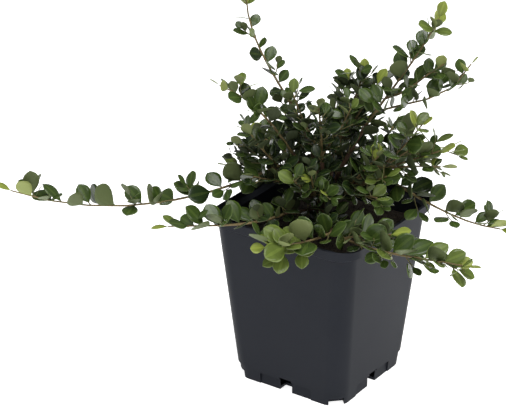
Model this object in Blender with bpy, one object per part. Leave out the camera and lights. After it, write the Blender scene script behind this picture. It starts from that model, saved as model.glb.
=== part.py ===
"""A young carpet cotoneaster in a square nursery pot.

The pot stands on the flat underside of its floor, whose centre is the origin. A short stem rises
from the soil and forks into boughs. Each bough carries one or two masses of foliage: leafy twigs
that grow by a seeded rule, every mass a solid of its own. Metres, +Z up, pot sides along X and Y.
"""

import math
import random
from collections import namedtuple

import bpy
import numpy as np
from mathutils import Matrix
from mathutils.bvhtree import BVHTree

GAP = 0.0003  # left between neighbouring pieces

# Pot: a square with rounded corners, told as (height, side, corner radius) from the foot up
POT_SIDE = 0.090
POT_HEIGHT = 0.0965
POT_WALL = 0.0012
POT_FLOOR = 0.0016
LIP_WALL = 0.00144  # just above the lip's sloped underside
SLOPE_RISE = 0.4  # of a wall, by which the inner slope sits higher than the outer one
FOOT_HEIGHT = 0.0080
FOOT_SIDE = 0.0663
FOOT_TOP_SIDE = 0.0678
BODY_FOOT_SIDE = 0.0690
BODY_TOP_SIDE = 0.0835
BODY_TOP = 0.0897
LIP_FOOT = 0.0915
LIP_FOOT_SIDE = 0.0892
LIP_ROUND = 0.0004
CORNER_RADIUS = 0.0100
LIP_RADIUS = 0.0125
CORNER_STEPS = 4

# Drain openings in the foot: a slot in the middle of each side, a notch at each corner
SLOT_WIDTH = 0.0075
SLOT_HEIGHT = 0.0076
SLOT_DEPTH = 0.0060
NOTCH_WIDTH = 0.0085
NOTCH_HEIGHT = 0.0040
NOTCH_DEPTH = 0.0090  # measured inwards from the corner the sides would meet at
PANEL_WIDTH = 0.0320
PANEL_HEIGHT = 0.0066
PANEL_DEPTH = 0.0005
OUTSIDE = 0.0040  # by which a cutter stands out of the side it cuts
BELOW = 0.0020  # and out of the underside

# Soil and stem
SOIL_TOP = 0.0850
SOIL_MOUND = 0.0012
SOIL_EDGE_DROP = 0.0006
SOIL_EDGE_SHARE = 0.9  # of the pot's width, level between it and the crest
SOIL_CREST_SIDE = 0.020
SOIL_CREST_RADIUS = 0.006
STEM_HEIGHT = 0.0285
STEM_RADIUS = 0.0032
STEM_TIP_RADIUS = 0.0026
FLARE_RADIUS = 0.0052
FLARE_HEIGHT = 0.0060
STEM_LEAN = 0.0012
STEM_LEAN_HEADING = 30.0
STEM_RISES = (0.0, 0.0008, 0.0020, 0.0038, 0.0060, 0.0130, 0.0210, 0.0270, STEM_HEIGHT)
STEM_SIDES = 12
STEM_TIP_SHARE = 0.55  # of the radius left at the rounded top
FLARE_LOBES = 4
FLARE_SWELL = 0.16

# Limbs and leaves
BOUGH_RADIUS = 0.00120
BOUGH_TIP_RADIUS = 0.00090
TWIG_RADIUS = 0.00080
TWIG_TIP_RADIUS = 0.00036
SIDE_TWIG_RADIUS = 0.00060
BOUGH_STEPS = 4
BOUGH_SIDES = 6
TWIG_STEPS = 7
SIDE_TWIG_STEPS = 4
LEAF_WIDTH = 0.80  # of a leaf's length
LEAF_SHOULDER = 0.60
LEAF_THICKNESS = 0.0009
LEAF_ROOT_THICKNESS = 0.0005
LEAF_MARGIN = 0.00035
LEAF_STALK_SHARE = 0.3  # of a leaf, free to touch its own twig
LEAF_TURN = 137.5  # degrees round the twig from one leaf to the next
LEAF_LEANS = (64.0, 34.0)  # from the twig at its root, and by how much less at its end
END_LEAF_LEAN = 14.0
LEAF_JITTERS = (0.3, 25.0, 14.0)  # in spacing, in turn and in lean
LEVEL_PULL = 0.5  # share of its turn that a leaf on a level twig gives up to face the light
LEAF_FACING = (0.45, 0.9)  # along the twig and up
LEAF_SWELL = (0.80, 0.34, 1.05)  # size at the twig's root, gain towards its middle, and where
LEAF_SIZES = (0.75, 1.2)
LEAF_GREEN = (0.040, 0.085, 0.018)
BARK_BROWN = (0.110, 0.055, 0.030)

UP = np.array((0.0, 0.0, 1.0))

# Headings and pitches are in degrees: 0 along +X, counter-clockwise, and up from level.
# A bough leaves the stem at a height, bends from its first heading and pitch to its last, and
# ends where its foliage begins.
Bough = namedtuple("Bough", "name height heading pitch reach")
# A twig bends from its first heading to its last and through three pitches. The first twig of
# a mass starts at its bough's tip, the others at a share of the first one's length.
Twig = namedtuple("Twig", "heading pitch reach leaves leaf seed at twist", defaults=(0.0, 32))
Mass = namedtuple("Mass", "name bough twigs")

BOUGHS = (
    Bough("left_long", 0.0973, (186, 232), (71, 22), 0.029),
    Bough("left_low", 0.0950, (258, 250), (14, 5), 0.024),
    Bough("front", 0.0925, (309, 312), (12, 8), 0.034),
    Bough("right", 0.1010, (12, 14), (48, 12), 0.034),
    Bough("upper_right", 0.1070, (25, 29), (69, 60), 0.040),
    Bough("tall_left", 0.1086, (184, 202), (85, 62), 0.036),
    Bough("upper_left", 0.1030, (215, 216), (66, 58), 0.026),
    Bough("right_clump", 0.1045, (-7, 27), (34, 37), 0.018),
    Bough("crown_left", 0.1000, (228, 222), (45, 40), 0.012),
    Bough("crown_front", 0.0980, (285, 285), (45, 45), 0.010),
    Bough("crown_top", 0.1120, (290, 290), (78, 75), 0.012),
    Bough("crown_right", 0.0990, (345, 350), (45, 40), 0.012),
    Bough("crown_back", 0.1100, (80, 80), (75, 70), 0.014),
    Bough("back_left", 0.1020, (160, 155), (50, 25), 0.014),
    Bough("back", 0.1040, (110, 105), (50, 20), 0.014),
    Bough("back_right", 0.1000, (60, 65), (50, 20), 0.014),
)

MASSES = (
    Mass("left_long", "left_long", (
        Twig((219, 219), (-26, -4.5, 22), 0.142, 17, 0.0133, 760, twist=50),
    )),
    Mass("left_low", "left_low", (
        Twig((250, 214), (-4.5, 4.6, -2.3), 0.062, 16, 0.0116, 566, twist=20),
    )),
    Mass("front_left", "front", (
        Twig((257, 222), (-5, 0, 0), 0.0365, 13, 0.0136, 6266, twist=60),
    )),
    Mass("front_right", "front", (
        Twig((345, 375), (-6, 5, -3), 0.0765, 23, 0.0132, 2220, twist=30),
        Twig((0, 20), (25, 15, 10), 0.026, 10, 0.0123, 2742, at=0.1, twist=30),
    )),
    Mass("right", "right", (
        Twig((11, 21), (-23, -21, -1), 0.064, 20, 0.0120, 8116, twist=50),
    )),
    Mass("upper_right", "upper_right", (
        Twig((29, 38), (60, 57, 66), 0.067, 24, 0.0127, 5065, twist=50),
        Twig((9, 20), (16, 43, 31), 0.038, 15, 0.0104, 3081, at=0.25, twist=40),
        Twig((1, 20), (31, 26, 74), 0.062, 21, 0.0108, 9398, at=0.12, twist=40),
    )),
    Mass("tall_left", "tall_left", (
        Twig((198, 201), (60, 62, 90), 0.071, 18, 0.0098, 1502, twist=60),
    )),
    Mass("upper_left", "upper_left", (
        Twig((216, 218), (58, 48, 22), 0.054, 19, 0.0118, 5846, twist=50),
    )),
    Mass("right_clump", "right_clump", (
        Twig((15, 22), (30, 25, 25), 0.052, 15, 0.0125, 3961, twist=50),
        Twig((10, 10), (45, 50, 60), 0.040, 15, 0.0112, 8667, at=0.2, twist=60),
        Twig((15, 40), (20, 5, -5), 0.030, 8, 0.0095, 212, at=0.3),
    )),
    Mass("crown_left", "crown_left", (
        Twig((203, 195), (33, 34, 36), 0.036, 13, 0.0095, 22),
        Twig((225, 230), (50, 50, 60), 0.038, 14, 0.0095, 23, at=0.05),
        Twig((245, 235), (20, 20, 20), 0.026, 9, 0.0100, 24, at=0.05),
        Twig((189, 184), (5, 0, -5), 0.034, 11, 0.0095, 241, at=0.2),
    )),
    Mass("crown_front", "crown_front", (
        Twig((285, 300), (50, 50, 55), 0.024, 10, 0.0100, 25),
        Twig((322, 318), (36, 30, 25), 0.018, 8, 0.0100, 26, at=0.05),
        Twig((255, 270), (36, 40, 45), 0.024, 9, 0.0100, 27, at=0.05),
    )),
    Mass("crown_top", "crown_top", (
        Twig((300, 280), (72, 72, 76), 0.036, 13, 0.0090, 28),
        Twig((190, 180), (60, 60, 68), 0.036, 13, 0.0090, 29, at=0.08),
        Twig((20, 40), (60, 60, 70), 0.030, 11, 0.0090, 291, at=0.12),
    )),
    Mass("crown_right", "crown_right", (
        Twig((352, 355), (35, 32, 30), 0.034, 12, 0.0100, 30),
        Twig((358, 352), (55, 50, 50), 0.034, 12, 0.0100, 31, at=0.05),
        Twig((335, 340), (15, 15, 10), 0.028, 9, 0.0100, 32, at=0.1),
        Twig((20, 20), (40, 40, 40), 0.040, 12, 0.0095, 321, at=0.15),
    )),
    Mass("crown_back", "crown_back", (
        Twig((70, 60), (68, 68, 72), 0.044, 12, 0.0105, 33),
        Twig((110, 100), (62, 62, 62), 0.034, 9, 0.0105, 34, at=0.08),
        Twig((35, 40), (55, 60, 60), 0.036, 9, 0.0105, 35, at=0.15),
    )),
    Mass("back_left", "back_left", (
        Twig((155, 165), (20, 5, 0), 0.034, 9, 0.0110, 36),
        Twig((175, 185), (30, 15, 10), 0.034, 9, 0.0105, 37, at=0.2),
        Twig((140, 130), (35, 35, 30), 0.030, 7, 0.0105, 38, at=0.1),
    )),
    Mass("back", "back", (
        Twig((105, 95), (20, 5, 0), 0.048, 11, 0.0110, 39),
        Twig((120, 128), (30, 20, 10), 0.044, 10, 0.0110, 40, at=0.15),
        Twig((90, 80), (40, 38, 35), 0.034, 8, 0.0105, 41, at=0.1),
    )),
    Mass("back_right", "back_right", (
        Twig((60, 55), (20, 5, 0), 0.042, 10, 0.0110, 42),
        Twig((42, 38), (30, 15, 8), 0.038, 9, 0.0105, 43, at=0.15),
        Twig((75, 85), (38, 35, 30), 0.034, 8, 0.0105, 44, at=0.1),
    )),
)


# Materials

def material(name, colour, roughness, metallic=0.0):
    made = bpy.data.materials.new(name)
    made.use_nodes = True
    shader = made.node_tree.nodes["Principled BSDF"]
    shader.inputs["Base Color"].default_value = (*colour, 1.0)
    shader.inputs["Roughness"].default_value = roughness
    shader.inputs["Metallic"].default_value = metallic
    return made


# Objects

def clear_scene():
    for old in list(bpy.data.objects):
        bpy.data.objects.remove(old, do_unlink=True)


def add_object(name, vertices, faces, finish=None, origin=(0.0, 0.0, 0.0), collection=None):
    """A mesh object placed at its origin, from vertices given in world coordinates."""
    mesh = bpy.data.meshes.new(name)
    mesh.from_pydata([tuple(np.subtract(v, origin)) for v in vertices], [], faces)
    made = bpy.data.objects.new(name, mesh)
    made.location = origin
    if finish:
        mesh.materials.append(finish)
    (collection or bpy.context.scene.collection).objects.link(made)
    return made


def shade(made, sharp_angle=35.0):
    made.data.shade_smooth()
    made.data.set_sharp_from_angle(angle=math.radians(sharp_angle))


def cut(made, cutters, solver="EXACT"):
    for cutter in cutters:
        cutter.hide_render = True
        cutter.display_type = "WIRE"
        step = made.modifiers.new(cutter.name, "BOOLEAN")
        step.operation = "DIFFERENCE"
        step.solver = solver
        step.object = cutter


# Rings and lofts

def rounded_square(height, side, radius):
    """One ring of a square with rounded corners, counter-clockwise from above."""
    ring = []
    inner = side / 2 - radius
    for corner in range(4):
        middle = math.radians(45 + 90 * corner)
        centre = (math.copysign(inner, math.cos(middle)), math.copysign(inner, math.sin(middle)))
        for step in range(CORNER_STEPS + 1):
            angle = middle + math.radians(90) * (step / CORNER_STEPS - 0.5)
            ring.append((
                centre[0] + radius * math.cos(angle),
                centre[1] + radius * math.sin(angle),
                height,
            ))
    return ring


def loft(rings):
    """A closed body through rings of equal count, its two ends filled."""
    count = len(rings[0])
    vertices = [point for ring in rings for point in ring]
    faces = [tuple(reversed(range(count)))]
    for lower in range(0, count * (len(rings) - 1), count):
        for i in range(count):
            j = (i + 1) % count
            faces.append((lower + i, lower + j, lower + count + j, lower + count + i))
    faces.append(tuple(range(count * (len(rings) - 1), count * len(rings))))
    return vertices, faces


def box(name, centre, size):
    x, y, z = (np.array((-0.5, 0.5)) * s + c for s, c in zip(size, centre))
    rings = [[(x[0], y[0], h), (x[1], y[0], h), (x[1], y[1], h), (x[0], y[1], h)] for h in z]
    return add_object(name, *loft(rings))


# Pot

def pot_profile():
    """Rings up the outer wall, over the lip and down the inner wall to the floor."""
    outer = [
        (0.0, FOOT_SIDE, CORNER_RADIUS),
        (FOOT_HEIGHT, FOOT_TOP_SIDE, CORNER_RADIUS),
        (FOOT_HEIGHT + GAP, BODY_FOOT_SIDE, CORNER_RADIUS),
        (BODY_TOP, BODY_TOP_SIDE, CORNER_RADIUS),
        (LIP_FOOT, LIP_FOOT_SIDE, LIP_RADIUS),
        (POT_HEIGHT - LIP_ROUND, POT_SIDE, LIP_RADIUS),
        (POT_HEIGHT, POT_SIDE - 2 * LIP_ROUND, LIP_RADIUS),
    ]
    walled = [(height + POT_WALL * SLOPE_RISE, side) for height, side, _ in outer[3:5]]
    inner = [
        (POT_HEIGHT, POT_SIDE - 2 * POT_WALL),
        (walled[1][0] + POT_WALL, POT_SIDE - 2 * LIP_WALL),
        (walled[0][0] + POT_WALL, walled[0][1] - 2 * POT_WALL),
        (FOOT_HEIGHT + 2 * POT_WALL, BODY_FOOT_SIDE - 2 * POT_WALL),
        (POT_FLOOR, FOOT_SIDE - 2 * POT_WALL),
    ]
    radius = CORNER_RADIUS - POT_WALL
    return outer + [(height, side, radius) for height, side in inner]


def inner_side(height):
    """The width between the inner walls at a height within the body."""
    rings = pot_profile()
    top, foot = rings[-3], rings[-2]
    share = (height - foot[0]) / (top[0] - foot[0])
    return foot[1] + (top[1] - foot[1]) * share


def drain_cutters():
    cutters = []
    for side in range(4):
        angle = math.radians(90 * side)
        across = FOOT_SIDE / 2
        parts = (
            ("slot", across - SLOT_DEPTH / 2 + OUTSIDE / 2, (SLOT_DEPTH + OUTSIDE, SLOT_WIDTH), SLOT_HEIGHT),
            ("panel", across - PANEL_DEPTH + OUTSIDE, (2 * OUTSIDE, PANEL_WIDTH), PANEL_HEIGHT),
        )
        for name, reach, (depth, width), height in parts:
            cutter = box(f"{name}_cutter_{side}", (reach, 0, (height - BELOW) / 2),
                         (depth, width, height + BELOW))
            cutter.rotation_euler.z = angle
            cutters.append(cutter)
        notch = box(f"notch_cutter_{side}",
                    (across * math.sqrt(2) - NOTCH_DEPTH / 2, 0, (NOTCH_HEIGHT - BELOW) / 2),
                    (NOTCH_DEPTH, NOTCH_WIDTH, NOTCH_HEIGHT + BELOW))
        notch.rotation_euler.z = angle + math.radians(45)
        cutters.append(notch)
    return cutters


def make_pot():
    rings = [rounded_square(*ring) for ring in pot_profile()]
    pot = add_object("pot", *loft(rings), material("pot_plastic", (0.036, 0.039, 0.046), 0.42))
    shade(pot)
    cut(pot, drain_cutters())
    return pot


# Soil

def soil_shape():
    """The soil fills the pot to just below the lip, a little mounded at the stem."""
    clear = 2 * GAP
    radius = CORNER_RADIUS - POT_WALL - GAP
    floor = POT_FLOOR + GAP
    shoulder = FOOT_HEIGHT + 2 * POT_WALL
    foot_side = FOOT_SIDE - 2 * POT_WALL - clear
    bare = foot_side - 2 * SLOT_DEPTH
    mound = SOIL_TOP - SOIL_MOUND
    rings = [
        (floor, bare, radius),
        (SLOT_HEIGHT, bare, radius),
        (shoulder, inner_side(shoulder) - clear, radius),
        (mound - SOIL_EDGE_DROP, inner_side(mound) - clear, radius),
        (mound, inner_side(mound) * SOIL_EDGE_SHARE, radius),
        (SOIL_TOP, SOIL_CREST_SIDE, SOIL_CREST_RADIUS),
    ]
    return loft([rounded_square(*ring) for ring in rings])


def make_soil():
    soil = add_object("soil", *soil_shape(), material("potting_soil", (0.030, 0.020, 0.013), 0.95))
    shade(soil)
    return soil


# Directions and paths

def unit(vector):
    return vector / np.linalg.norm(vector)


def compass(heading, pitch):
    turn, rise = math.radians(heading), math.radians(pitch)
    return np.array((
        math.cos(turn) * math.cos(rise),
        math.sin(turn) * math.cos(rise),
        math.sin(rise),
    ))


def swept(start, reach, heading, pitch, steps):
    """Points of a limb whose heading and pitch change smoothly along it."""
    first, middle, last = pitch if len(pitch) == 3 else (pitch[0], sum(pitch) / 2, pitch[1])
    points = [np.array(start, float)]
    for step in range(steps):
        t = (step + 0.5) / steps
        rise = first * (1 - t) * (1 - 2 * t) + 4 * middle * t * (1 - t) + last * t * (2 * t - 1)
        turn = heading[0] + (heading[1] - heading[0]) * t
        points.append(points[-1] + compass(turn, rise) * reach / steps)
    return points


def along(points, share):
    """The point and the direction at a share of a path."""
    place = min(max(share, 0.0), 1.0) * (len(points) - 1)
    step = min(int(place), len(points) - 2)
    ahead = points[step + 1] - points[step]
    return points[step] + ahead * (place - step), unit(ahead)


def tube(points, radii, sides):
    """A closed tapering body round a path."""
    rings = []
    side = None
    for k, point in enumerate(points):
        ahead = unit(points[min(k + 1, len(points) - 1)] - points[max(k - 1, 0)])
        if side is None:
            side = np.cross(ahead, UP if abs(ahead[2]) < 0.9 else np.array((1.0, 0.0, 0.0)))
        side = unit(side - ahead * (side @ ahead))
        up = np.cross(ahead, side)
        angles = [2 * math.pi * i / sides for i in range(sides)]
        rings.append([point + (side * math.cos(a) + up * math.sin(a)) * radii[k] for a in angles])
    return loft(rings)


def tapered(start, end, count):
    return [start + (end - start) * k / (count - 1) for k in range(count)]


# Stem

def stem_axis(height):
    share = (height - SOIL_TOP) / STEM_HEIGHT
    return np.array((0.0, 0.0, height)) + compass(STEM_LEAN_HEADING, 0) * STEM_LEAN * share


def stem_radius(height):
    """Tapers to the fork, with a root flare at the soil."""
    rise = height - SOIL_TOP
    plain = STEM_RADIUS + (STEM_TIP_RADIUS - STEM_RADIUS) * rise / STEM_HEIGHT
    flare = max(0.0, 1 - rise / FLARE_HEIGHT) ** 2
    return plain + (FLARE_RADIUS - STEM_RADIUS) * flare


def make_stem():
    base = SOIL_TOP + GAP
    rings = []
    for rise in STEM_RISES:
        centre = stem_axis(base + rise)
        radius = stem_radius(SOIL_TOP + rise)
        lobes = FLARE_SWELL * max(0.0, 1 - rise / FLARE_HEIGHT)
        if rise == STEM_HEIGHT:
            radius *= STEM_TIP_SHARE
        ring = []
        for i in range(STEM_SIDES):
            angle = 2 * math.pi * i / STEM_SIDES
            swell = radius * (1 + lobes * math.cos(FLARE_LOBES * angle))
            ring.append(centre + np.array((math.cos(angle), math.sin(angle), 0)) * swell)
        rings.append(ring)
    vertices, faces = loft(rings)
    stem = add_object("stem", vertices, faces, material("old_bark", (0.075, 0.042, 0.026), 0.8),
                      origin=(0.0, 0.0, base))
    shade(stem, 50)
    return stem, vertices, faces


# Clearance

class Space:
    """The bodies that already stand, so that what grows next keeps clear of them."""

    def __init__(self):
        self.bodies = []

    def add(self, owner, vertices, faces):
        points = np.array(vertices)
        centre = (points.min(axis=0) + points.max(axis=0)) / 2
        radius = np.linalg.norm(points - centre, axis=1).max()
        tree = BVHTree.FromPolygons([tuple(v) for v in vertices], faces)
        self.bodies.append((owner, centre, radius, tree))

    def is_free(self, vertices, faces, own=None, others=True):
        """Whether a shape stays clear of its own mass's bodies or of everybody else's."""
        points = np.array(vertices)
        centre = points.mean(axis=0)
        radius = np.linalg.norm(points - centre, axis=1).max()
        tree = None
        for owner, middle, reach, body in self.bodies:
            if (owner != own) != others:
                continue
            if np.linalg.norm(centre - middle) > radius + reach:
                continue
            tree = tree or BVHTree.FromPolygons([tuple(v) for v in vertices], faces)
            if tree.overlap(body):
                return False
        return True


# Leaves

def leaf_sites(points, twig):
    """Each leaf of a twig by the seeded rule: root, direction, face and length."""
    rng = random.Random(twig.seed)
    shift, swing, tilt = LEAF_JITTERS
    phase = rng.uniform(0, 360)
    sites = []
    for i in range(twig.leaves):
        last = i == twig.leaves - 1
        share = 1.0 if last else (i + 0.5 + rng.uniform(-shift, shift)) / twig.leaves
        root, ahead = along(points, share)
        level = math.sqrt(1 - ahead[2] ** 2)
        top = unit(UP - ahead * ahead[2])
        side = np.cross(ahead, top)
        roll = (phase + LEAF_TURN * i + rng.uniform(-swing, swing) + 180) % 360 - 180
        roll = math.radians(roll * (1 - LEVEL_PULL * level))
        outward = top * math.cos(roll) + side * math.sin(roll)
        lean = END_LEAF_LEAN if last else LEAF_LEANS[0] - LEAF_LEANS[1] * share ** 3
        lean = math.radians(lean + rng.uniform(-tilt, tilt))
        direction = unit(ahead * math.cos(lean) + outward * math.sin(lean))
        face = LEAF_FACING[0] * ahead + LEAF_FACING[1] * UP
        face = unit(face - direction * (face @ direction))
        turn = math.radians(rng.gauss(0, twig.twist))
        face = face * math.cos(turn) + np.cross(direction, face) * math.sin(turn)
        root_size, gain, peak = LEAF_SWELL
        swell = root_size + gain * math.sin(math.pi * min(1.0, share * peak))
        sites.append((root, direction, face, twig.leaf * swell * rng.uniform(*LEAF_SIZES)))
    return sites


def leaf_solid(root, direction, face, length, grow=0.0, bare=0.0):
    """A leaf of ten faces, broadest past its middle. bare leaves off a share at its root."""
    across = np.cross(face, direction)
    shoulder = root + direction * length * LEAF_SHOULDER
    width = length * LEAF_WIDTH + 2 * grow
    thick = face * (LEAF_THICKNESS / 2 + grow)
    root_thick = face * (LEAF_ROOT_THICKNESS / 2 + grow)
    foot = root + direction * (length * bare)
    tip = root + direction * (length + grow)
    vertices = [foot + root_thick, foot - root_thick, shoulder + across * width / 2, tip,
                shoulder - across * width / 2, shoulder + thick, shoulder - thick]
    upper, lower, above, below = 0, 1, 5, 6
    edge = (2, 3, 4)
    faces = [(upper, edge[0], above), (edge[0], lower, below)]
    for a, b in zip(edge, edge[1:]):
        faces.append((a, b, above))
        faces.append((b, a, below))
    faces += [(edge[-1], upper, above), (lower, edge[-1], below)]
    faces += [(lower, edge[0], upper), (upper, edge[-1], lower)]
    return vertices, faces


# Growth

def grow_boughs():
    """Each bough's path, from just clear of the stem to its tip."""
    paths = {}
    for bough in BOUGHS:
        rise = math.radians(bough.pitch[0])
        out = stem_radius(bough.height) + GAP + BOUGH_RADIUS * math.sin(rise)
        start = stem_axis(bough.height) + compass(bough.heading[0], 0) * out
        paths[bough.name] = swept(start, bough.reach, bough.heading, bough.pitch, BOUGH_STEPS)
    return paths


def first_start(path, twig):
    """Where a mass's first twig begins, clear of the end of its bough."""
    forward = unit(path[-1] - path[-2])
    ahead = compass(twig.heading[0], twig.pitch[0])
    cosine = float(forward @ ahead)
    sine = math.sqrt(max(0.0, 1 - cosine ** 2))
    return path[-1] + ahead * (GAP + TWIG_RADIUS * sine) / cosine


def grow_twigs(bough_paths):
    """Each mass's twig paths, the first one leading."""
    masses = []
    for mass in MASSES:
        paths = []
        for twig in mass.twigs:
            if paths:
                start, steps = along(paths[0], twig.at)[0], SIDE_TWIG_STEPS
            else:
                start, steps = first_start(bough_paths[mass.bough], twig), TWIG_STEPS
            paths.append(swept(start, twig.reach, twig.heading, twig.pitch, steps))
        masses.append((mass, paths))
    return masses


def twig_solid(path, leading):
    radius = TWIG_RADIUS if leading else SIDE_TWIG_RADIUS
    return tube(path, tapered(radius, TWIG_TIP_RADIUS, len(path)), 3)


def mass_pieces(mass, paths, space):
    """A mass's twigs, and those of its leaves that touch nothing."""
    twigs = [twig_solid(path, k == 0) for k, path in enumerate(paths)]
    leaves = []
    for path, twig in zip(paths, mass.twigs):
        for root, direction, face, length in leaf_sites(path, twig):
            whole = leaf_solid(root, direction, face, length, LEAF_MARGIN)
            blade = leaf_solid(root, direction, face, length, LEAF_MARGIN, LEAF_STALK_SHARE)
            if not space.is_free(*whole, own=mass.name):
                continue
            if not space.is_free(*blade, own=mass.name, others=False):
                continue
            leaf = leaf_solid(root, direction, face, length)
            space.add(mass.name, *leaf)
            leaves.append(leaf)
    return twigs + leaves


def fuse(name, pieces, finish, origin):
    """One body from overlapping pieces."""
    first = add_object(name, *pieces[0])
    others = bpy.data.collections.new(name + "_pieces")
    for k, piece in enumerate(pieces[1:]):
        add_object(f"{name}_piece_{k}", *piece, collection=others)
    union = first.modifiers.new("union", "BOOLEAN")
    union.operation = "UNION"
    union.operand_type = "COLLECTION"
    union.solver = "EXACT"
    union.collection = others
    graph = bpy.context.evaluated_depsgraph_get()
    mesh = bpy.data.meshes.new_from_object(first.evaluated_get(graph))
    for piece in [first, *others.objects]:
        bpy.data.objects.remove(piece, do_unlink=True)
    bpy.data.collections.remove(others)
    mesh.name = name
    mesh.transform(Matrix.Translation(-origin))
    mesh.materials.clear()
    mesh.materials.append(finish)
    fused = bpy.data.objects.new(name, mesh)
    fused.location = origin
    bpy.context.scene.collection.objects.link(fused)
    return fused


def make_foliage(bough_paths, space):
    """Every mass of foliage. All the twigs stand before the first leaf is tried."""
    masses = grow_twigs(bough_paths)
    for mass, paths in masses:
        for k, path in enumerate(paths):
            space.add(mass.name, *twig_solid(path, k == 0))
    made = []
    for mass, paths in masses:
        finish = material(f"leaves_{mass.name}", LEAF_GREEN, 0.4)
        pieces = mass_pieces(mass, paths, space)
        made.append(fuse(f"foliage_{mass.name}", pieces, finish, paths[0][0]))
    return made


def make_boughs(paths, space):
    made = []
    for name, path in paths.items():
        vertices, faces = tube(path, tapered(BOUGH_RADIUS, BOUGH_TIP_RADIUS, len(path)), BOUGH_SIDES)
        finish = material(f"bark_{name}", BARK_BROWN, 0.7)
        bough = add_object(f"bough_{name}", vertices, faces, finish, origin=path[0])
        shade(bough, 60)
        space.add(name, vertices, faces)
        made.append(bough)
    return made


def main():
    clear_scene()
    space = Space()
    plant = bpy.data.objects.new("potted_cotoneaster", None)
    bpy.context.scene.collection.objects.link(plant)
    pot = make_pot()
    soil = make_soil()
    stem, *stem_shape = make_stem()
    space.add("stem", *stem_shape)
    space.add("pot", *loft([rounded_square(*ring) for ring in pot_profile()]))
    space.add("soil", *soil_shape())
    bough_paths = grow_boughs()
    boughs = make_boughs(bough_paths, space)
    foliage = make_foliage(bough_paths, space)
    for piece in [pot, soil, stem, *boughs, *foliage]:
        piece.parent = plant


main()
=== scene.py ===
"""Looks for the young carpet cotoneaster in its square nursery pot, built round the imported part."""

import math
import random
from collections import namedtuple

import bpy
import numpy as np
from mathutils import Matrix, Vector, noise
from mathutils.bvhtree import BVHTree


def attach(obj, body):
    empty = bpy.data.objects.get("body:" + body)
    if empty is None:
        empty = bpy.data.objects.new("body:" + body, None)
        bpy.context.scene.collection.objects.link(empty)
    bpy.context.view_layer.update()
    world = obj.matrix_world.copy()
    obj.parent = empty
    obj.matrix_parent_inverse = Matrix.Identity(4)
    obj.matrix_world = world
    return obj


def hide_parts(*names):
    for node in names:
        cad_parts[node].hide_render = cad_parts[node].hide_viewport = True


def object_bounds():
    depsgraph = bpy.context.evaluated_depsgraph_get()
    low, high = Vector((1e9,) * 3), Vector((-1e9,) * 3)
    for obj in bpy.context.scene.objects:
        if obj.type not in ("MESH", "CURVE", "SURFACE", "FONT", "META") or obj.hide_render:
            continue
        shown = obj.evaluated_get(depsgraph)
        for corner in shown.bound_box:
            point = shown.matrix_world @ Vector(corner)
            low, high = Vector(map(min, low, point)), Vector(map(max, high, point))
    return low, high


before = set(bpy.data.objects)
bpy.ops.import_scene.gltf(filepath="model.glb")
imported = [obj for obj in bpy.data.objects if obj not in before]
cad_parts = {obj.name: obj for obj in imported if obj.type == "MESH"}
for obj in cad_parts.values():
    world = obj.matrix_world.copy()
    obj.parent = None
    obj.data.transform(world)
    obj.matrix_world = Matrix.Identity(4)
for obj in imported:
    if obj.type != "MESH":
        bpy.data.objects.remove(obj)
cad_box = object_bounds()

GAP = 0.0003  # left between neighbouring pieces

# Pot: a square with rounded corners, told as (height, side, corner radius) from the foot up
POT_SIDE = 0.090
POT_HEIGHT = 0.0965
POT_WALL = 0.0012
POT_FLOOR = 0.0016
LIP_WALL = 0.00144  # just above the lip's sloped underside
SLOPE_RISE = 0.4  # of a wall, by which the inner slope sits higher than the outer one
FOOT_HEIGHT = 0.0080
FOOT_SIDE = 0.0663
FOOT_TOP_SIDE = 0.0678
BODY_FOOT_SIDE = 0.0690
BODY_TOP_SIDE = 0.0835
BODY_TOP = 0.0897
LIP_FOOT = 0.0915
LIP_FOOT_SIDE = 0.0892
LIP_ROUND = 0.0004
CORNER_RADIUS = 0.0100
LIP_RADIUS = 0.0125
CORNER_STEPS = 14

# Drain openings in the foot: a slot in the middle of each side, a notch at each corner
SLOT_WIDTH = 0.0075
SLOT_HEIGHT = 0.0076
SLOT_DEPTH = 0.0060
NOTCH_WIDTH = 0.0085
NOTCH_HEIGHT = 0.0040
NOTCH_DEPTH = 0.0090  # measured inwards from the corner the sides would meet at
PANEL_WIDTH = 0.0320
PANEL_HEIGHT = 0.0066
PANEL_DEPTH = 0.0005
OUTSIDE = 0.0040  # by which a cutter stands out of the side it cuts
BELOW = 0.0020  # and out of the underside

# Soil and stem
SOIL_TOP = 0.0850
SOIL_MOUND = 0.0012
SOIL_FIT_DEPTH = 0.0030  # below its top, where the pot's inner width is read
SOIL_SIDE_GAP = 0.0004
SOIL_CORNER = 0.0075
SOIL_DEPTH = 0.0040
SOIL_TICKS = 97  # grid lines across it
LUMP_HEIGHT = 0.0004
LUMP_SCALE = 260
LUMP_FRACTAL = (0.7, 2.2, 4)  # roughness, step and octaves
CRUMB_DENSITY = 160000.0  # a square metre
CRUMB_SIZES = (0.0004, 0.0015)
CRUMB_SHAPES = ((0.6, 0.6, 0.4), (1.5, 1.0, 0.9))
CRUMB_TURNS = ((0.0, 0.0, 0.0), (6.28, 6.28, 6.28))
STEM_HEIGHT = 0.0285
STEM_RADIUS = 0.0032
STEM_TIP_RADIUS = 0.0026
FLARE_RADIUS = 0.0052
FLARE_HEIGHT = 0.0060
STEM_LEAN = 0.0012
STEM_LEAN_HEADING = 30.0
STEM_RINGS = 40
STEM_SUNK = 0.0010  # into the soil
STEM_TIP_SHARE = 0.55  # of the radius left at the rounded top

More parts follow.
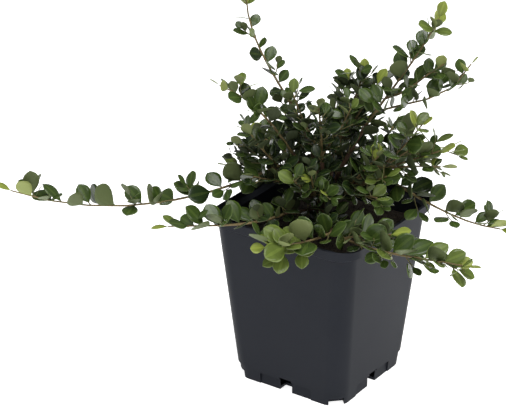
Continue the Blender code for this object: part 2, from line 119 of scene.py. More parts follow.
# Limbs and leaves
BOUGH_RADIUS = 0.00120
BOUGH_TIP_RADIUS = 0.00090
TWIG_RADIUS = 0.00080
TWIG_TIP_RADIUS = 0.00036
SIDE_TWIG_RADIUS = 0.00060
BOUGH_SUNK = 0.0016  # into the stem
BOUGH_COLLAR = 1.1  # swelling where it leaves the stem
BOUGH_STEPS = 4
BOUGH_BODY_SIDES = 6
TWIG_BODY_SIDES = 3
TWIG_STEPS = 7
SIDE_TWIG_STEPS = 4
LEAF_WIDTH = 0.80  # of a leaf's length
LEAF_SHOULDER = 0.60
LEAF_THICKNESS = 0.0009
LEAF_ROOT_THICKNESS = 0.0005
LEAF_MARGIN = 0.00035
LEAF_STALK_SHARE = 0.3  # of a leaf, free to touch its own twig
LEAF_TURN = 137.5  # degrees round the twig from one leaf to the next
LEAF_LEANS = (64.0, 34.0)  # from the twig at its root, and by how much less at its end
END_LEAF_LEAN = 14.0
LEAF_JITTERS = (0.3, 25.0, 14.0)  # in spacing, in turn and in lean
LEVEL_PULL = 0.5  # share of its turn that a leaf on a level twig gives up to face the light
LEAF_FACING = (0.45, 0.9)  # along the twig and up
LEAF_SWELL = (0.80, 0.34, 1.05)  # size at the twig's root, gain towards its middle, and where
LEAF_SIZES = (0.75, 1.2)

UP = np.array((0.0, 0.0, 1.0))
OFF_UP = UP + 0.01  # never quite along a limb
STEEP = 0.9  # rise of a path that is too near to upright for UP to set its side

# Headings and pitches are in degrees: 0 along +X, counter-clockwise, and up from level.
# A bough leaves the stem at a height, bends from its first heading and pitch to its last, and
# ends where its foliage begins.
Bough = namedtuple("Bough", "name height heading pitch reach")
# A twig bends from its first heading to its last and through three pitches. The first twig of
# a mass starts at its bough's tip, the others at a share of the first one's length.
Twig = namedtuple("Twig", "heading pitch reach leaves leaf seed at twist", defaults=(0.0, 32))
Mass = namedtuple("Mass", "name bough twigs")

BOUGHS = (
    Bough("left_long", 0.0973, (186, 232), (71, 22), 0.029),
    Bough("left_low", 0.0950, (258, 250), (14, 5), 0.024),
    Bough("front", 0.0925, (309, 312), (12, 8), 0.034),
    Bough("right", 0.1010, (12, 14), (48, 12), 0.034),
    Bough("upper_right", 0.1070, (25, 29), (69, 60), 0.040),
    Bough("tall_left", 0.1086, (184, 202), (85, 62), 0.036),
    Bough("upper_left", 0.1030, (215, 216), (66, 58), 0.026),
    Bough("right_clump", 0.1045, (-7, 27), (34, 37), 0.018),
    Bough("crown_left", 0.1000, (228, 222), (45, 40), 0.012),
    Bough("crown_front", 0.0980, (285, 285), (45, 45), 0.010),
    Bough("crown_top", 0.1120, (290, 290), (78, 75), 0.012),
    Bough("crown_right", 0.0990, (345, 350), (45, 40), 0.012),
    Bough("crown_back", 0.1100, (80, 80), (75, 70), 0.014),
    Bough("back_left", 0.1020, (160, 155), (50, 25), 0.014),
    Bough("back", 0.1040, (110, 105), (50, 20), 0.014),
    Bough("back_right", 0.1000, (60, 65), (50, 20), 0.014),
)

MASSES = (
    Mass("left_long", "left_long", (
        Twig((219, 219), (-26, -4.5, 22), 0.142, 17, 0.0133, 760, twist=50),
    )),
    Mass("left_low", "left_low", (
        Twig((250, 214), (-4.5, 4.6, -2.3), 0.062, 16, 0.0116, 566, twist=20),
    )),
    Mass("front_left", "front", (
        Twig((257, 222), (-5, 0, 0), 0.0365, 13, 0.0136, 6266, twist=60),
    )),
    Mass("front_right", "front", (
        Twig((345, 375), (-6, 5, -3), 0.0765, 23, 0.0132, 2220, twist=30),
        Twig((0, 20), (25, 15, 10), 0.026, 10, 0.0123, 2742, at=0.1, twist=30),
    )),
    Mass("right", "right", (
        Twig((11, 21), (-23, -21, -1), 0.064, 20, 0.0120, 8116, twist=50),
    )),
    Mass("upper_right", "upper_right", (
        Twig((29, 38), (60, 57, 66), 0.067, 24, 0.0127, 5065, twist=50),
        Twig((9, 20), (16, 43, 31), 0.038, 15, 0.0104, 3081, at=0.25, twist=40),
        Twig((1, 20), (31, 26, 74), 0.062, 21, 0.0108, 9398, at=0.12, twist=40),
    )),
    Mass("tall_left", "tall_left", (
        Twig((198, 201), (60, 62, 90), 0.071, 18, 0.0098, 1502, twist=60),
    )),
    Mass("upper_left", "upper_left", (
        Twig((216, 218), (58, 48, 22), 0.054, 19, 0.0118, 5846, twist=50),
    )),
    Mass("right_clump", "right_clump", (
        Twig((15, 22), (30, 25, 25), 0.052, 15, 0.0125, 3961, twist=50),
        Twig((10, 10), (45, 50, 60), 0.040, 15, 0.0112, 8667, at=0.2, twist=60),
        Twig((15, 40), (20, 5, -5), 0.030, 8, 0.0095, 212, at=0.3),
    )),
    Mass("crown_left", "crown_left", (
        Twig((203, 195), (33, 34, 36), 0.036, 13, 0.0095, 22),
        Twig((225, 230), (50, 50, 60), 0.038, 14, 0.0095, 23, at=0.05),
        Twig((245, 235), (20, 20, 20), 0.026, 9, 0.0100, 24, at=0.05),
        Twig((189, 184), (5, 0, -5), 0.034, 11, 0.0095, 241, at=0.2),
    )),
    Mass("crown_front", "crown_front", (
        Twig((285, 300), (50, 50, 55), 0.024, 10, 0.0100, 25),
        Twig((322, 318), (36, 30, 25), 0.018, 8, 0.0100, 26, at=0.05),
        Twig((255, 270), (36, 40, 45), 0.024, 9, 0.0100, 27, at=0.05),
    )),
    Mass("crown_top", "crown_top", (
        Twig((300, 280), (72, 72, 76), 0.036, 13, 0.0090, 28),
        Twig((190, 180), (60, 60, 68), 0.036, 13, 0.0090, 29, at=0.08),
        Twig((20, 40), (60, 60, 70), 0.030, 11, 0.0090, 291, at=0.12),
    )),
    Mass("crown_right", "crown_right", (
        Twig((352, 355), (35, 32, 30), 0.034, 12, 0.0100, 30),
        Twig((358, 352), (55, 50, 50), 0.034, 12, 0.0100, 31, at=0.05),
        Twig((335, 340), (15, 15, 10), 0.028, 9, 0.0100, 32, at=0.1),
        Twig((20, 20), (40, 40, 40), 0.040, 12, 0.0095, 321, at=0.15),
    )),
    Mass("crown_back", "crown_back", (
        Twig((70, 60), (68, 68, 72), 0.044, 12, 0.0105, 33),
        Twig((110, 100), (62, 62, 62), 0.034, 9, 0.0105, 34, at=0.08),
        Twig((35, 40), (55, 60, 60), 0.036, 9, 0.0105, 35, at=0.15),
    )),
    Mass("back_left", "back_left", (
        Twig((155, 165), (20, 5, 0), 0.034, 9, 0.0110, 36),
        Twig((175, 185), (30, 15, 10), 0.034, 9, 0.0105, 37, at=0.2),
        Twig((140, 130), (35, 35, 30), 0.030, 7, 0.0105, 38, at=0.1),
    )),
    Mass("back", "back", (
        Twig((105, 95), (20, 5, 0), 0.048, 11, 0.0110, 39),
        Twig((120, 128), (30, 20, 10), 0.044, 10, 0.0110, 40, at=0.15),
        Twig((90, 80), (40, 38, 35), 0.034, 8, 0.0105, 41, at=0.1),
    )),
    Mass("back_right", "back_right", (
        Twig((60, 55), (20, 5, 0), 0.042, 10, 0.0110, 42),
        Twig((42, 38), (30, 15, 8), 0.038, 9, 0.0105, 43, at=0.15),
        Twig((75, 85), (38, 35, 30), 0.034, 8, 0.0105, 44, at=0.1),
    )),
)

# Finer growth than the part's, within the same reach
SPUR_STEP = 0.0055
SPUR_REACH = (0.006, 0.012)
SPUR_TAPER = 0.35  # by which a spur is shorter at a twig's end
SPUR_RINGS = 4
SPUR_SIDES = 5
SPUR_RADIUS = 0.00034
SPUR_TIP_RADIUS = 0.00022
SPUR_JITTER = 0.3
SPUR_LEAN = 52.0
SPUR_SWING = 25
SPUR_RISES = (10, 20)  # pitch gained by its middle and by its end
SPUR_TWIST = 24
SPUR_LEAVES = 6
SPUR_LEAF_SHARE = 0.78
OPEN_MASSES = ("left_long", "left_low", "tall_left", "upper_left", "upper_right", "right")
OPEN_SPACING = 3.2  # how much further apart their spurs are
CROWN_SPACING = 0.5
SMALL_LEAVED = ("tall_left", "upper_left", "upper_right")
SMALL_LEAF_SHARE = 0.84
BOUGH_SPUR_STEP = 0.0028
BOUGH_LEAF = 0.0125
BOX_MARGIN = 0.002  # left between a spur's leaves and the sides of the part's box

# Bark
TWIG_SIDES = 7
TWIG_RING_STEP = 0.001
BARK_STEP = 0.0005
BARK_SIDES = 14
BARK_RELIEF = 0.10
BARK_GRAIN = 900
BARK_STRETCH = 0.45  # of the grain's frequency left along the height
BARK_FRACTAL = (0.8, 2.1, 3)
BARK_STREAKS = 900.0
TWIG_STREAKS = 300.0  # wider ones, on spurs too
SMOOTHINGS = 3

# A leaf of length one
LEAF_CAMBER = 0.10
LEAF_FOLD = 0.10
FOLD_CURVE = (1.6, 0.9)  # rise beside the rib, and fall to the rim
LEAF_SWEEP = 0.02  # by which the rims lag behind the rib
BLADE = (  # share of the length, half width
    (0.00, 0.020), (0.10, 0.022), (0.16, 0.075), (0.28, 0.190), (0.42, 0.285),
    (0.58, 0.335), (0.74, 0.315), (0.87, 0.230), (0.96, 0.110), (1.00, 0.020),
)
BLADE_COLUMNS = (-1.0, -0.55, 0.0, 0.55, 1.0)
BLADE_THICKNESS = 0.022

# Leaf tones, from painted shade for the middle of the crown to the youngest tips: upper side,
# underside
TONES = {
    # the darkest tone is darker than the leaves' own green: painted shade for the crown's middle
    "deep": ((0.015, 0.030, 0.008), (0.050, 0.066, 0.026)),
    "green": ((0.044, 0.076, 0.015), (0.095, 0.122, 0.042)),
    "light": ((0.115, 0.160, 0.032), (0.165, 0.195, 0.070)),
    "young": ((0.240, 0.290, 0.050), (0.260, 0.300, 0.090)),
}
TONE_STEPS = (("deep", 0.34), ("green", 0.66), ("light", 0.93), ("young", 9.0))
# Each mass's starting tone: the crown masses and the back ones sit lower as painted shade for the
# plant's middle
MASS_TONES_AND_SHADE = {
    "left_long": 0.42, "left_low": 0.36, "front_left": 0.58, "front_right": 0.48, "right": 0.42,
    "upper_right": 0.44, "tall_left": 0.44, "upper_left": 0.36, "right_clump": 0.44,
    "crown_left": 0.14, "crown_front": 0.28, "crown_top": 0.18, "crown_right": 0.26,
    "crown_back": 0.30, "back_left": 0.34, "back": 0.34, "back_right": 0.36,
}
# the spurs along the boughs, inside the crown, get the darkest tone as painted shade
BOUGH_SHADE_TONE = 0.16
TIP_LEAVES = 2
TIP_TONE = 0.42
TONE_GAINS = (0.30, 0.25)  # towards the end of a twig, and of the spurs along it
TONE_SPREADS = (0.10, 0.12)  # from leaf to leaf, and from spur to spur
LEAF_SHADES = (0.72, 1.32)
RIB_WIDTH = 0.16  # of the blade's half width
# the rim's pale band is a painted highlight; the rib is the leaf's own paler vein
HIGHLIGHT_RIM_START = 0.87
RIB_SHARE = 0.35  # of the pale colour in it
HIGHLIGHT_RIM_SHARE = 0.60
# the pale colour serves both the real rib and the painted rim highlight
PALE_GAIN = 1.5
PALE_ADDED = (0.050, 0.060, 0.012)
LEAF_ROUGHNESS = 0.25
UNDERSIDE_ROUGHNESS = 0.38  # more than the upper side's
LEAF_GLOSS = 0.42

# Other colours, each from the darkest to the lightest
POT_COLOURS = ((0.015, 0.017, 0.023), (0.021, 0.023, 0.029))
POT_GLOSS = 0.06
POT_SHARP_ANGLE = 32
SOIL_COLOURS = ((0.004, 0.003, 0.002), (0.040, 0.026, 0.016))
BARK_COLOURS = ((0.040, 0.020, 0.012), (0.170, 0.095, 0.052))
TWIG_COLOURS = ((0.105, 0.062, 0.028), (0.240, 0.190, 0.070))
SPUR_COLOURS = ((0.120, 0.090, 0.035), (0.190, 0.190, 0.070))

# Camera, as solved from the pot in the photo
AZIMUTH = 34.61
ELEVATION = 24.79
DISTANCE = 1.0601
AIM_HEIGHT = 0.060
SHIFT_RIGHT = -0.0361
SHIFT_UP = 0.0335
LENS = 142.29
SENSOR = 36.0

# Studio
FLOOR_REACH = 4
FLOOR_COLOUR = (0.92, 0.92, 0.92)
FLOOR_GLOW = 0.90
SKY_STRENGTH = 0.16
LAMPS = (  # name, azimuth, elevation, distance, size, power, colour
    ("key", 85.0, 40.0, 1.5, 0.8, 8.0, (1.0, 0.985, 0.95)),
    ("fill", -25.0, 30.0, 1.6, 1.2, 3.0, (0.93, 0.96, 1.0)),
    ("top", 30.0, 82.0, 1.5, 1.0, 16.0, (1.0, 1.0, 1.0)),
)


# Rings and lofts

def rounded_square(height, side, radius):
    """One ring of a square with rounded corners, counter-clockwise from above."""
    ring = []
    inner = side / 2 - radius
    for corner in range(4):
        middle = math.radians(45 + 90 * corner)
        centre = (math.copysign(inner, math.cos(middle)), math.copysign(inner, math.sin(middle)))
        for step in range(CORNER_STEPS + 1):
            angle = middle + math.radians(90) * (step / CORNER_STEPS - 0.5)
            x = centre[0] + radius * math.cos(angle)
            y = centre[1] + radius * math.sin(angle)
            ring.append((x, y, height))
    return ring


def loft(rings):
    """A closed body through rings of equal count, its two ends filled."""
    count = len(rings[0])
    vertices = [point for ring in rings for point in ring]
    faces = [tuple(reversed(range(count)))]
    for lower in range(0, count * (len(rings) - 1), count):
        for i in range(count):
            j = (i + 1) % count
            faces.append((lower + i, lower + j, lower + count + j, lower + count + i))
    faces.append(tuple(range(count * (len(rings) - 1), count * len(rings))))
    return vertices, faces


def pot_profile():
    """Rings up the outer wall, over the lip and down the inner wall to the floor."""
    outer = [
        (0.0, FOOT_SIDE, CORNER_RADIUS),
        (FOOT_HEIGHT, FOOT_TOP_SIDE, CORNER_RADIUS),
        (FOOT_HEIGHT + GAP, BODY_FOOT_SIDE, CORNER_RADIUS),
        (BODY_TOP, BODY_TOP_SIDE, CORNER_RADIUS),
        (LIP_FOOT, LIP_FOOT_SIDE, LIP_RADIUS),
        (POT_HEIGHT - LIP_ROUND, POT_SIDE, LIP_RADIUS),
        (POT_HEIGHT, POT_SIDE - 2 * LIP_ROUND, LIP_RADIUS),
    ]
    walled = [(height + POT_WALL * SLOPE_RISE, side) for height, side, _ in outer[3:5]]
    inner = [
        (POT_HEIGHT, POT_SIDE - 2 * POT_WALL),
        (walled[1][0] + POT_WALL, POT_SIDE - 2 * LIP_WALL),
        (walled[0][0] + POT_WALL, walled[0][1] - 2 * POT_WALL),
        (FOOT_HEIGHT + 2 * POT_WALL, BODY_FOOT_SIDE - 2 * POT_WALL),
        (POT_FLOOR, FOOT_SIDE - 2 * POT_WALL),
    ]
    radius = CORNER_RADIUS - POT_WALL
    return outer + [(height, side, radius) for height, side in inner]


def inner_side(height):
    """The width between the inner walls at a height within the body."""
    rings = pot_profile()
    top, foot = rings[-3], rings[-2]
    share = (height - foot[0]) / (top[0] - foot[0])
    return foot[1] + (top[1] - foot[1]) * share


# Directions and paths

def unit(vector):
    """The vector's direction, of length one."""
    return vector / np.linalg.norm(vector)


def compass(heading, pitch):
    """The direction of a heading and a pitch."""
    turn, rise = math.radians(heading), math.radians(pitch)
    level = math.cos(rise)
    return np.array((math.cos(turn) * level, math.sin(turn) * level, math.sin(rise)))


def swept(start, reach, heading, pitch, steps):
    """Points of a limb whose heading and pitch change smoothly along it."""
    first, middle, last = pitch if len(pitch) == 3 else (pitch[0], sum(pitch) / 2, pitch[1])
    points = [np.array(start, float)]
    for step in range(steps):
        t = (step + 0.5) / steps
        rise = first * (1 - t) * (1 - 2 * t) + 4 * middle * t * (1 - t) + last * t * (2 * t - 1)
        turn = heading[0] + (heading[1] - heading[0]) * t
        points.append(points[-1] + compass(turn, rise) * reach / steps)
    return points


def along(points, share):
    """The point and the direction at a share of a path."""
    place = min(max(share, 0.0), 1.0) * (len(points) - 1)
    step = min(int(place), len(points) - 2)
    ahead = points[step + 1] - points[step]
    return points[step] + ahead * (place - step), unit(ahead)


def tube(points, radii, sides):
    """A closed tapering body round a path."""
    rings = []
    side = None
    for k, point in enumerate(points):
        ahead = unit(points[min(k + 1, len(points) - 1)] - points[max(k - 1, 0)])
        if side is None:
            side = np.cross(ahead, UP if abs(ahead[2]) < STEEP else np.array((1.0, 0.0, 0.0)))
        side = unit(side - ahead * (side @ ahead))
        up = np.cross(ahead, side)
        angles = [2 * math.pi * i / sides for i in range(sides)]
        rings.append([point + (side * math.cos(a) + up * math.sin(a)) * radii[k] for a in angles])
    return loft(rings)


def tapered(start, end, count):
    """Even steps from one radius to another."""
    return [start + (end - start) * k / (count - 1) for k in range(count)]


def stem_axis(height):
    """The stem's middle, leaning a little."""
    share = (height - SOIL_TOP) / STEM_HEIGHT
    return np.array((0.0, 0.0, height)) + compass(STEM_LEAN_HEADING, 0) * STEM_LEAN * share


def stem_radius(height):
    """Tapers to the fork, with a root flare at the soil."""
    rise = height - SOIL_TOP
    plain = STEM_RADIUS + (STEM_TIP_RADIUS - STEM_RADIUS) * rise / STEM_HEIGHT
    flare = max(0.0, 1 - rise / FLARE_HEIGHT) ** 2
    return plain + (FLARE_RADIUS - STEM_RADIUS) * flare


# Clearance

class Space:
    """The bodies that already stand, so that what grows next keeps clear of them."""

    def __init__(self):
        self.bodies = []

    def add(self, owner, vertices, faces):
        points = np.array(vertices)
        centre = (points.min(axis=0) + points.max(axis=0)) / 2
        radius = np.linalg.norm(points - centre, axis=1).max()
        tree = BVHTree.FromPolygons([tuple(v) for v in vertices], faces)
        self.bodies.append((owner, centre, radius, tree))

    def is_free(self, vertices, faces, own=None, others=True):
        """Whether a shape stays clear of its own mass's bodies or of everybody else's."""
        points = np.array(vertices)
        centre = points.mean(axis=0)
        radius = np.linalg.norm(points - centre, axis=1).max()
        tree = None
        for owner, middle, reach, body in self.bodies:
            if (owner != own) != others:
                continue
            if np.linalg.norm(centre - middle) > radius + reach:
                continue
            tree = tree or BVHTree.FromPolygons([tuple(v) for v in vertices], faces)
            if tree.overlap(body):
                return False
        return True


# Leaves and growth

def leaf_sites(points, twig):
    """Each leaf of a twig by the seeded rule: root, direction, face and length."""
    rng = random.Random(twig.seed)
    shift, swing, tilt = LEAF_JITTERS
    phase = rng.uniform(0, 360)
    sites = []
    for i in range(twig.leaves):
        last = i == twig.leaves - 1
        share = 1.0 if last else (i + 0.5 + rng.uniform(-shift, shift)) / twig.leaves
        root, ahead = along(points, share)
        level = math.sqrt(1 - ahead[2] ** 2)
        top = unit(UP - ahead * ahead[2])
        side = np.cross(ahead, top)
        roll = (phase + LEAF_TURN * i + rng.uniform(-swing, swing) + 180) % 360 - 180
        roll = math.radians(roll * (1 - LEVEL_PULL * level))
        outward = top * math.cos(roll) + side * math.sin(roll)
        lean = END_LEAF_LEAN if last else LEAF_LEANS[0] - LEAF_LEANS[1] * share ** 3
        lean = math.radians(lean + rng.uniform(-tilt, tilt))
        direction = unit(ahead * math.cos(lean) + outward * math.sin(lean))
        face = LEAF_FACING[0] * ahead + LEAF_FACING[1] * UP
        face = unit(face - direction * (face @ direction))
        turn = math.radians(rng.gauss(0, twig.twist))
        face = face * math.cos(turn) + np.cross(direction, face) * math.sin(turn)
        root_size, gain, peak = LEAF_SWELL
        swell = root_size + gain * math.sin(math.pi * min(1.0, share * peak))
        sites.append((root, direction, face, twig.leaf * swell * rng.uniform(*LEAF_SIZES)))
    return sites


def leaf_solid(root, direction, face, length, grow=0.0, bare=0.0):
    """A leaf of ten faces, broadest past its middle. bare leaves off a share at its root."""
    across = np.cross(face, direction)
    shoulder = root + direction * length * LEAF_SHOULDER
    width = length * LEAF_WIDTH + 2 * grow
    thick = face * (LEAF_THICKNESS / 2 + grow)
    root_thick = face * (LEAF_ROOT_THICKNESS / 2 + grow)
    foot = root + direction * (length * bare)
    tip = root + direction * (length + grow)
    vertices = [foot + root_thick, foot - root_thick, shoulder + across * width / 2, tip,
                shoulder - across * width / 2, shoulder + thick, shoulder - thick]
    upper, lower, above, below = 0, 1, 5, 6
    edge = (2, 3, 4)
    faces = [(upper, edge[0], above), (edge[0], lower, below)]
    for a, b in zip(edge, edge[1:]):
        faces.append((a, b, above))
        faces.append((b, a, below))
    faces += [(edge[-1], upper, above), (lower, edge[-1], below)]
    faces += [(lower, edge[0], upper), (upper, edge[-1], lower)]
    return vertices, faces


def grow_boughs():
    """Each bough's path, from just clear of the stem to its tip."""
    paths = {}
    for bough in BOUGHS:
        rise = math.radians(bough.pitch[0])
        out = stem_radius(bough.height) + GAP + BOUGH_RADIUS * math.sin(rise)
        start = stem_axis(bough.height) + compass(bough.heading[0], 0) * out
        paths[bough.name] = swept(start, bough.reach, bough.heading, bough.pitch, BOUGH_STEPS)
    return paths


def first_start(path, twig):
    """Where a mass's first twig begins, clear of the end of its bough."""
    forward = unit(path[-1] - path[-2])
    ahead = compass(twig.heading[0], twig.pitch[0])
    cosine = float(forward @ ahead)
    sine = math.sqrt(max(0.0, 1 - cosine ** 2))
    return path[-1] + ahead * (GAP + TWIG_RADIUS * sine) / cosine


def grow_twigs(bough_paths):
    """Each mass's twig paths, the first one leading."""
    masses = []
    for mass in MASSES:
        paths = []
        for twig in mass.twigs:
            if paths:
                start, steps = along(paths[0], twig.at)[0], SIDE_TWIG_STEPS
            else:
                start, steps = first_start(bough_paths[mass.bough], twig), TWIG_STEPS
            paths.append(swept(start, twig.reach, twig.heading, twig.pitch, steps))
        masses.append((mass, paths))
    return masses


def twig_solid(path, leading):
    """The part's own three-sided twig."""
    radius = TWIG_RADIUS if leading else SIDE_TWIG_RADIUS
    return tube(path, tapered(radius, TWIG_TIP_RADIUS, len(path)), TWIG_BODY_SIDES)


# Shader nodes

class Value:
    """A shader socket that arithmetic can be written with."""

    def __init__(self, tree, socket):
        self.tree = tree
        self.socket = socket

    def math(self, operation, other, swapped=False):
        node = self.tree.nodes.new("ShaderNodeMath")
        node.operation = operation
        for place, term in enumerate((other, self) if swapped else (self, other)):
            if isinstance(term, Value):
                self.tree.links.new(term.socket, node.inputs[place])
            else:
                node.inputs[place].default_value = term
        return Value(self.tree, node.outputs[0])

    def __add__(self, other):
        return self.math("ADD", other)

    def __radd__(self, other):
        return self.math("ADD", other, swapped=True)

    def __sub__(self, other):
        return self.math("SUBTRACT", other)

    def __rsub__(self, other):
        return self.math("SUBTRACT", other, swapped=True)

    def __mul__(self, other):
        return self.math("MULTIPLY", other)

    def __rmul__(self, other):
        return self.math("MULTIPLY", other, swapped=True)

    def above(self, limit):
        return self.math("GREATER_THAN", limit)


def scaled(colour, share):
    return tuple(channel * share for channel in colour)


class Finish:
    """A procedural material built round one Principled shader."""

    def __init__(self, name, **settings):
        self.material = bpy.data.materials.new(name)
        self.material.use_nodes = True
        self.tree = self.material.node_tree
        self.shader = self.tree.nodes["Principled BSDF"]
        self.set(**settings)
        self.place = self.node("ShaderNodeTexCoord", "Object")

    def set(self, **settings):
        for key, value in settings.items():
            self.feed(self.shader.inputs[key.replace("_", " ")], value)

    def feed(self, socket, value):
        if isinstance(value, Value):
            self.tree.links.new(value.socket, socket)
        elif isinstance(value, tuple) and len(value) == 3 and socket.type == "RGBA":
            socket.default_value = (*value, 1.0)
        else:
            socket.default_value = value

    def node(self, kind, output, inputs=(), **settings):
        made = self.tree.nodes.new(kind)
        for key, value in settings.items():
            setattr(made, key, value)
        for key, value in dict(inputs).items():
            self.feed(made.inputs[key], value)
        return Value(self.tree, made.outputs[output])

    def noise(self, scale, detail=3.0):
        inputs = {"Vector": self.place, "Scale": scale, "Detail": detail}
        return self.node("ShaderNodeTexNoise", 0, inputs)

    def attribute(self, name):
        return self.node("ShaderNodeAttribute", "Fac", attribute_name=name)

    def mix(self, share, first, second):
        return self.node("ShaderNodeMix", 2, {0: share, 6: first, 7: second}, data_type="RGBA")

    def bump(self, height, strength, distance):
        inputs = {"Height": height, "Strength": strength, "Distance": distance}
        self.set(Normal=self.node("ShaderNodeBump", 0, inputs))


def leaf_finish(name, upper, under):
    """A glossy cloudy upper side with a pale rib, a painted highlight along its rim, and a duller
    underside.
    """
    finish = Finish(name)
    below = finish.attribute("under")
    out = finish.attribute("out")
    cloud = finish.noise(scale=160.0) * 0.9 + 0.05
    rib = 1.0 - out.above(RIB_WIDTH)
    # a painted highlight along the leaf's rim
    rim_highlight = out.above(HIGHLIGHT_RIM_START)
    dark, bright = (scaled(upper, share) for share in LEAF_SHADES)
    pale = tuple(channel * PALE_GAIN + more for channel, more in zip(upper, PALE_ADDED))
    top = finish.mix(cloud, dark, bright)
    top = finish.mix(rib * RIB_SHARE + rim_highlight * HIGHLIGHT_RIM_SHARE, top, pale)
    finish.set(Base_Color=finish.mix(below, top, under),
               Roughness=LEAF_ROUGHNESS + below * UNDERSIDE_ROUGHNESS,
               Specular_IOR_Level=LEAF_GLOSS)
    finish.bump(finish.noise(scale=700.0), strength=0.25, distance=0.0004)
    return finish.material


def bark_finish(name, old, young, scale):
    """Streaks of two browns that also stand out."""
    finish = Finish(name, Roughness=0.72)
    streak = finish.noise(scale, detail=5.0)
    finish.set(Base_Color=finish.mix(streak, old, young))
    finish.bump(streak, strength=0.6, distance=0.0004)
    return finish.material


def pot_finish():
    """Dark moulded plastic, a little cloudy and very finely grained."""
    finish = Finish("pot_plastic_fine", Specular_IOR_Level=POT_GLOSS)
    cloud = finish.noise(scale=28.0)
    finish.set(Base_Color=finish.mix(cloud, *POT_COLOURS), Roughness=0.40 + cloud * 0.12)
    finish.bump(finish.noise(scale=1400.0, detail=2.0), strength=0.12, distance=0.0002)
    return finish.material


def soil_finish():
    """Dark grains of peat."""
    finish = Finish("potting_soil_fine", Roughness=0.92)
    grain = finish.noise(scale=420.0, detail=6.0)
    finish.set(Base_Color=finish.mix(grain, *SOIL_COLOURS))
    finish.bump(grain, strength=0.9, distance=0.0010)
    return finish.material


# Pieces

def add_mesh(name, vertices, faces, finish=None):
    mesh = bpy.data.meshes.new(name)
    mesh.from_pydata([tuple(v) for v in vertices], [], faces)
    made = bpy.data.objects.new(name, mesh)
    if finish:
        mesh.materials.append(finish)
    bpy.context.scene.collection.objects.link(made)
    return made


def joined(solids):
    """Several bodies as one list of vertices and one of faces."""
    vertices, faces = [], []
    for points, sides in solids:
        start = len(vertices)
        vertices.extend(points)
        faces.extend(tuple(i + start for i in side) for side in sides)
    return vertices, faces


def settle(made):
    """The evaluated mesh in place of the modifiers."""
    graph = bpy.context.evaluated_depsgraph_get()
    mesh = bpy.data.meshes.new_from_object(made.evaluated_get(graph))
    made.modifiers.clear()
    made.data = mesh
    return made


def place(made, slot, *nodes):
    """A piece on the one body, for the nodes it stands for, which it hides. slot is not used."""
    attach(made, "root")
    if nodes:
        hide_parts(*nodes)
    return made


# Pot and soil

def cutter_box(centre, size, turn):
    """A box turned about the pot's axis."""
    x, y, z = (np.array((-0.5, 0.5)) * s + c for s, c in zip(size, centre))
    rings = [[(x[0], y[0], h), (x[1], y[0], h), (x[1], y[1], h), (x[0], y[1], h)] for h in z]
    vertices, faces = loft(rings)
    spin = Matrix.Rotation(turn, 3, "Z")
    return [spin @ Vector(v) for v in vertices], faces


def drain_shapes():
    """A slot and a shallow panel in each side of the foot, and a notch at each corner."""
    across = FOOT_SIDE / 2
    openings = (  # reach of the middle, depth, width, height, turn
        (across - SLOT_DEPTH / 2 + OUTSIDE / 2, SLOT_DEPTH + OUTSIDE, SLOT_WIDTH, SLOT_HEIGHT, 0),
        (across - PANEL_DEPTH + OUTSIDE, 2 * OUTSIDE, PANEL_WIDTH, PANEL_HEIGHT, 0),
        (across * math.sqrt(2) - NOTCH_DEPTH / 2, NOTCH_DEPTH, NOTCH_WIDTH, NOTCH_HEIGHT, 45),
    )
    shapes = []
    for side in range(4):
        for reach, depth, width, height, turn in openings:
            centre = (reach, 0, (height - BELOW) / 2)
            size = (depth, width, height + BELOW)
            shapes.append(cutter_box(centre, size, math.radians(90 * side + turn)))
    return shapes


def pot_body():
    return loft([rounded_square(*ring) for ring in pot_profile()])


def make_pot():
    """The pot with finely rounded corners and its drain openings cut."""
    pot = add_mesh("pot_shell", *pot_body(), pot_finish())
    cutters = [add_mesh(f"drain_{k}", *shape) for k, shape in enumerate(drain_shapes())]
    for cutter in cutters:
        step = pot.modifiers.new(cutter.name, "BOOLEAN")
        step.operation = "DIFFERENCE"
        step.solver = "EXACT"
        step.object = cutter
    settle(pot)
    for cutter in cutters:
        bpy.data.objects.remove(cutter, do_unlink=True)
    pot.data.shade_smooth()
    pot.data.set_sharp_from_angle(angle=math.radians(POT_SHARP_ANGLE))
    return place(pot, "pot_plastic", "pot")


def soil_height(x, y):
    """Mounded at the stem, with small lumps."""
    edge = max(abs(x), abs(y)) / (inner_side(SOIL_TOP) / 2)
    swell = SOIL_MOUND * (1 - edge ** 2)
    lumps = noise.fractal(Vector((x, y, 0.0)) * LUMP_SCALE, *LUMP_FRACTAL)
    return SOIL_TOP - SOIL_MOUND + swell + LUMP_HEIGHT * lumps


def grid_border(rows, columns):
    """The outer points of a grid numbered row by row, once round from its first corner."""
    count = rows * columns
    first, last = range(columns), range(count - 2, count - columns - 1, -1)
    right = range(2 * columns - 1, count, columns)
    left = range(count - 2 * columns, 0, -columns)
    return [*first, *right, *last, *left]


def soil_grid():
    """The soil's top: a square grid whose corners are drawn in to the pot's round ones."""
    half = (inner_side(SOIL_TOP - SOIL_FIT_DEPTH) - GAP) / 2 - SOIL_SIDE_GAP
    straight = half - SOIL_CORNER
    ticks = np.linspace(-half, half, SOIL_TICKS)
    vertices = []
    for y in ticks:
        for x in ticks:
            over = Vector((max(0.0, abs(x) - straight), max(0.0, abs(y) - straight)))
            pull = min(1.0, SOIL_CORNER / over.length) if over.length > 0 else 1.0
            px = math.copysign(min(abs(x), straight) + over.x * pull, x)
            py = math.copysign(min(abs(y), straight) + over.y * pull, y)
            vertices.append((px, py, soil_height(px, py)))
    faces = []
    for row in range(SOIL_TICKS - 1):
        for column in range(SOIL_TICKS - 1):
            a = row * SOIL_TICKS + column
            faces.append((a, a + 1, a + SOIL_TICKS + 1, a + SOIL_TICKS))
    return vertices, faces


